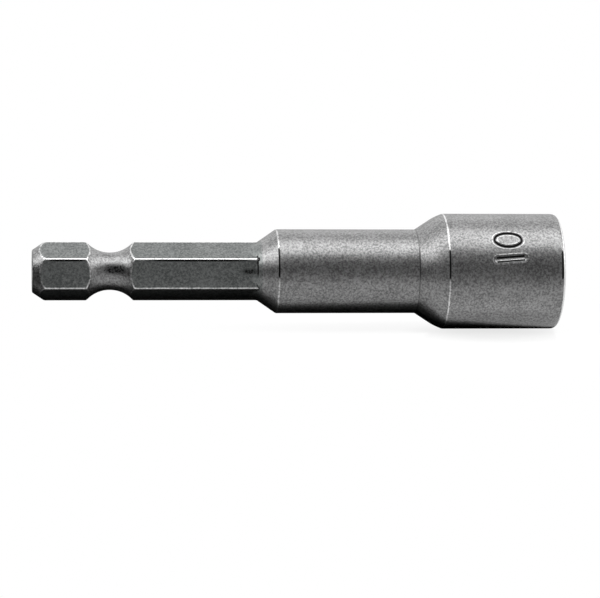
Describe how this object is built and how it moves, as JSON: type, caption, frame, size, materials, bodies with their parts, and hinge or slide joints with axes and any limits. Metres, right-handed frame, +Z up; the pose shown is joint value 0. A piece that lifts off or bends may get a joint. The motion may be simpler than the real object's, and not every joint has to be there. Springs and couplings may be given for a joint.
{
  "type": "magnetic nut setter",
  "caption": "Steel driver bit with a hexagonal shank and ball groove, a round neck and a larger head whose hexagon socket holds a magnet in a knurled brass sleeve.",
  "frame": {"origin": "centre of the flat end of the shank", "axes": "+X along the tool's axis from the shank's end to the socket's mouth, +Z up, with a flat of the shank and a flat of the socket facing -Y"},
  "size_m": [0.065, 0.0142, 0.0142],
  "materials": {
    "blasted_steel": "fine grey blasted steel, satin, bright along worn edges",
    "sleeve_brass": "machined brass with a straight knurl",
    "magnet_plating": "satin nickel plating",
    "black_adhesive": "cured black adhesive"
  },
  "bodies": {
    "root": {"setter_body": "blasted_steel", "magnet_sleeve": "sleeve_brass", "magnet": "magnet_plating", "magnet_bond": "black_adhesive"}
  },
  "joints": []
}
